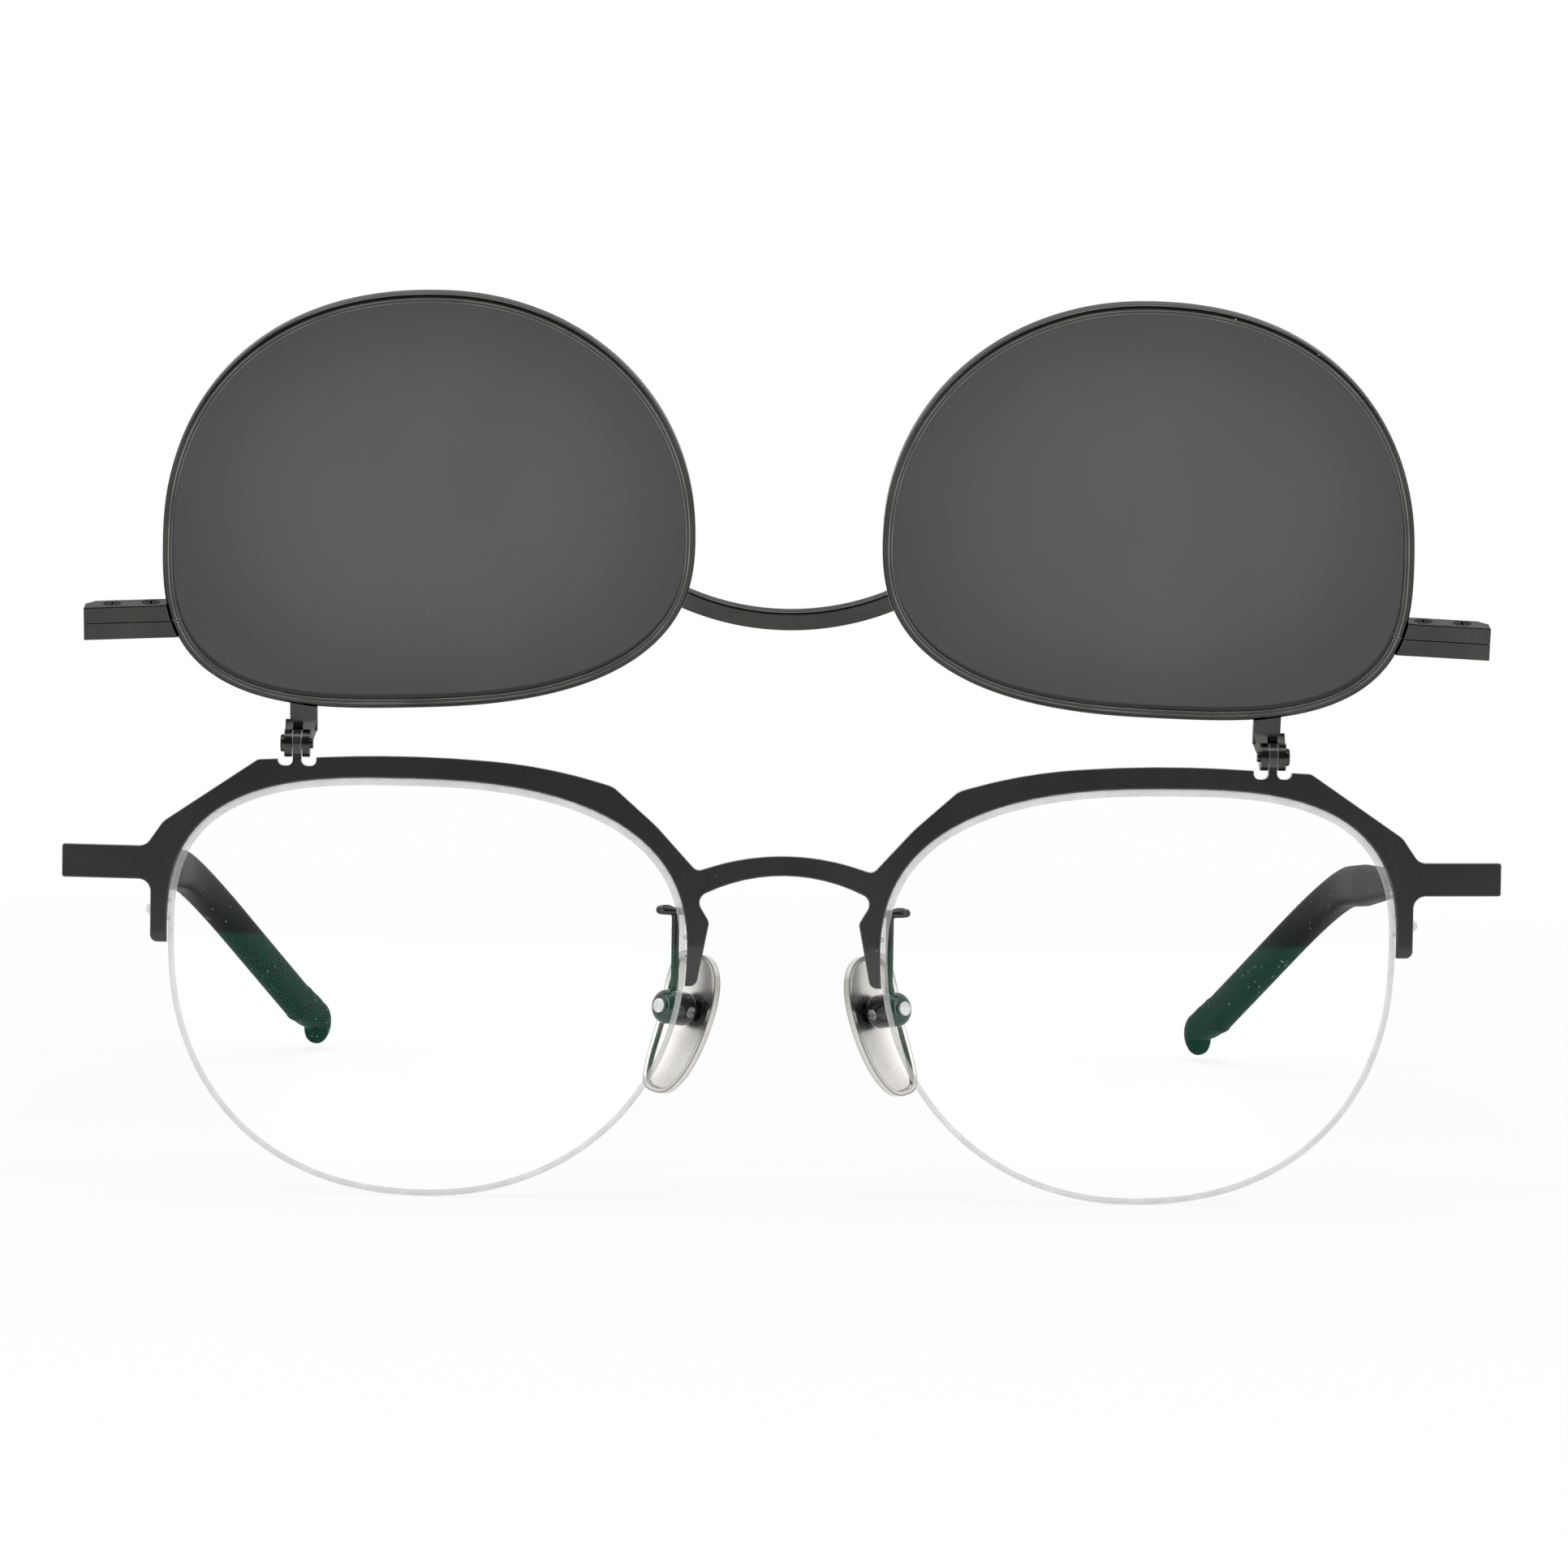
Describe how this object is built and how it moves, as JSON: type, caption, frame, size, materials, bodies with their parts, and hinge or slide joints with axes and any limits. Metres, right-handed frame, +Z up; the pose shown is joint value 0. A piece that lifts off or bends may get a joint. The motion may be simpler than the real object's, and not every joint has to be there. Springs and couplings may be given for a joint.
{
  "type": "flip-up sunglasses",
  "caption": "Half-rim metal eyeglasses with clear lenses, folding temples and metal nose pads, carrying a hinged sun-lens front that flips up above the frame.",
  "frame": {"origin": "middle of the footprint, on the surface that the lenses stand on, with the temple tips half a millimetre above it", "axes": "+X to the right as seen from the front, +Y back towards the temple tips, +Z up"},
  "size_m": [0.141, 0.1362, 0.088],
  "materials": {
    "black_metal": "satin black coating",
    "gunmetal": "polished gunmetal plating",
    "clear_lens": "clear, anti-reflection coated",
    "sun_lens": "grey tinted, polished",
    "nylon": "clear nylon",
    "titanium": "satin titanium",
    "steel": "machined",
    "tip_plastic": "smooth black plastic"
  },
  "bodies": {
    "front": {"front_sheet": "black_metal", "right_clear_lens": "clear_lens", "right_rim_liner": "nylon", "right_lens_cord": "nylon", "right_pad_arm": "gunmetal", "right_pad_barrel": "black_metal", "right_pad_screw": "steel", "right_hinge_block": "black_metal", "right_hinge_screw": "steel", "left_clear_lens": "clear_lens", "left_rim_liner": "nylon", "left_lens_cord": "nylon", "left_pad_arm": "gunmetal", "left_pad_barrel": "black_metal", "left_pad_screw": "steel", "left_hinge_block": "black_metal", "left_hinge_screw": "steel"},
    "sun_front": {"sun_bridge": "gunmetal", "right_sun_rim": "gunmetal", "right_sun_lens": "sun_lens", "right_lock_block_upper": "gunmetal", "right_lock_block_lower": "gunmetal", "right_lock_screws": "gunmetal", "right_flip_bracket": "gunmetal", "right_flip_screw": "steel", "left_sun_rim": "gunmetal", "left_sun_lens": "sun_lens", "left_lock_block_upper": "gunmetal", "left_lock_block_lower": "gunmetal", "left_lock_screws": "gunmetal", "left_flip_bracket": "gunmetal", "left_flip_screw": "steel"},
    "right_temple": {"right_temple_leaf": "black_metal", "right_temple_arm": "black_metal", "right_temple_tip": "tip_plastic"},
    "left_temple": {"left_temple_leaf": "black_metal", "left_temple_arm": "black_metal", "left_temple_tip": "tip_plastic"},
    "right_pad": {"right_nose_pad": "titanium", "right_pad_stud": "steel"},
    "left_pad": {"left_nose_pad": "titanium", "left_pad_stud": "steel"}
  },
  "joints": [
    {"name": "sun_front_flip", "type": "hinge", "parent": "front", "child": "sun_front", "pos_m": [0, -0.05945, 0.04392], "axis": [1, 0, 0], "range_deg": [0, 166]},
    {"name": "right_temple_fold", "type": "hinge", "parent": "front", "child": "right_temple", "pos_m": [0.0636, -0.05368, 0.03315], "axis": [0, 0, 1], "range_deg": [0, 78]},
    {"name": "left_temple_fold", "type": "hinge", "parent": "front", "child": "left_temple", "pos_m": [-0.0636, -0.05368, 0.03315], "axis": [0, 0, -1], "range_deg": [0, 86]},
    {"name": "right_pad_rock", "type": "hinge", "parent": "front", "child": "right_pad", "pos_m": [0.00875, -0.05608, 0.018], "axis": [-0.6617, 0.7314, -0.165], "range_deg": [-10, 10]},
    {"name": "left_pad_rock", "type": "hinge", "parent": "front", "child": "left_pad", "pos_m": [-0.00875, -0.05608, 0.018], "axis": [0.6617, 0.7314, -0.165], "range_deg": [-10, 10]}
  ]
}
